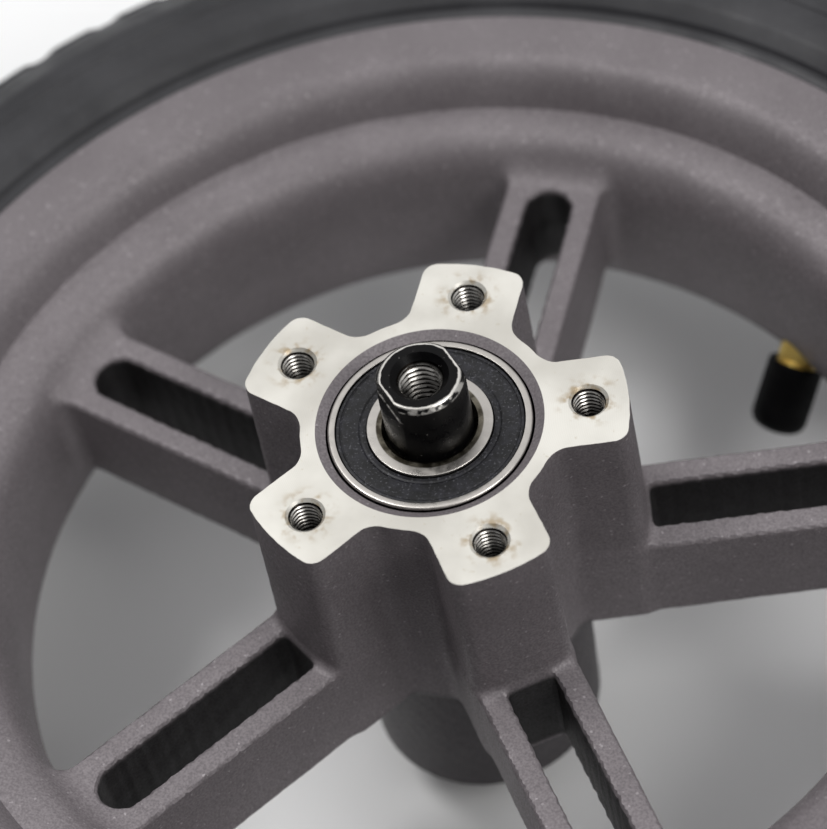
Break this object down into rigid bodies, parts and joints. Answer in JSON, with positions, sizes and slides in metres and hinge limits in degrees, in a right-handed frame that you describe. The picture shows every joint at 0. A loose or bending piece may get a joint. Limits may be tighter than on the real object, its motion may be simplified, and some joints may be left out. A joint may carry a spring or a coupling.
{
  "type": "spoked hub wheel with pneumatic tyre",
  "caption": "Cast aluminium double-spoke wheel with a lobed, tapped hub face, a pneumatic tyre with a bent valve, and sealed ball bearings on a flatted dead axle.",
  "frame": {"origin": "centre of the wheel, where the axle's centre line meets the wheel's middle plane", "axes": "+Z along the axle towards the machined five-lobed face, +Y through the middle of one lobe and its spoke"},
  "size_m": [0.3, 0.3, 0.1118],
  "materials": {
    "coated_casting": "warm grey powder coat with a fine metallic sparkle, bare machined face on the lobes",
    "tyre_rubber": "matt dark grey rubber",
    "tube_rubber": "black rubber",
    "valve_brass": "turned brass",
    "cap_plastic": "black moulded plastic",
    "axle_steel": "glossy black oxide, worn bright along the chamfers",
    "bearing_steel": "ground bearing steel",
    "seal_rubber": "dusty black seal rubber",
    "plated_steel": "plain steel pressing and sleeve"
  },
  "bodies": {
    "axle_set": {"axle": "axle_steel", "spacer_sleeve": "plated_steel", "inner_ring_near": "bearing_steel", "inner_ring_far": "bearing_steel"},
    "wheel": {"wheel_casting": "coated_casting", "tyre": "tyre_rubber", "inner_tube": "tube_rubber", "valve_stem": "valve_brass", "valve_core": "valve_brass", "valve_grommet": "tube_rubber", "outer_ring_near": "bearing_steel", "outer_ring_far": "bearing_steel", "face_seal_near": "seal_rubber", "back_seal_near": "seal_rubber", "face_seal_far": "seal_rubber", "back_seal_far": "seal_rubber"},
    "cage_near": {"ball_cage_near": "plated_steel", "ball_near_1": "bearing_steel", "ball_near_2": "bearing_steel", "ball_near_3": "bearing_steel", "ball_near_4": "bearing_steel", "ball_near_5": "bearing_steel", "ball_near_6": "bearing_steel", "ball_near_7": "bearing_steel", "ball_near_8": "bearing_steel"},
    "cage_far": {"ball_cage_far": "plated_steel", "ball_far_1": "bearing_steel", "ball_far_2": "bearing_steel", "ball_far_3": "bearing_steel", "ball_far_4": "bearing_steel", "ball_far_5": "bearing_steel", "ball_far_6": "bearing_steel", "ball_far_7": "bearing_steel", "ball_far_8": "bearing_steel"},
    "valve_cap": {"valve_cap": "cap_plastic"},
    "valve_pin": {"valve_pin": "valve_brass"}
  },
  "joints": [
    {"name": "wheel_spin", "type": "hinge", "parent": "axle_set", "child": "wheel", "pos_m": [0, 0, 0], "axis": [0, 0, 1], "continuous": true},
    {"name": "cage_near_spin", "type": "hinge", "parent": "axle_set", "child": "cage_near", "pos_m": [0, 0, 0.03696], "axis": [0, 0, 1], "continuous": true},
    {"name": "cage_far_spin", "type": "hinge", "parent": "axle_set", "child": "cage_far", "pos_m": [0, 0, -0.03696], "axis": [0, 0, 1], "continuous": true},
    {"name": "valve_cap_off", "type": "slide", "parent": "wheel", "child": "valve_cap", "axis": [-0.2119, -0.6557, -0.7247], "range_m": [0, 0.012], "stiffness_N_per_m": 20},
    {"name": "valve_pin_press", "type": "slide", "parent": "wheel", "child": "valve_pin", "axis": [0.2119, 0.6557, 0.7247], "range_m": [0, 0.001]}
  ],
  "couplings": [
    {"joint": "cage_near_spin", "follows": "wheel_spin", "ratio": 0.616},
    {"joint": "cage_far_spin", "follows": "wheel_spin", "ratio": 0.616}
  ]
}
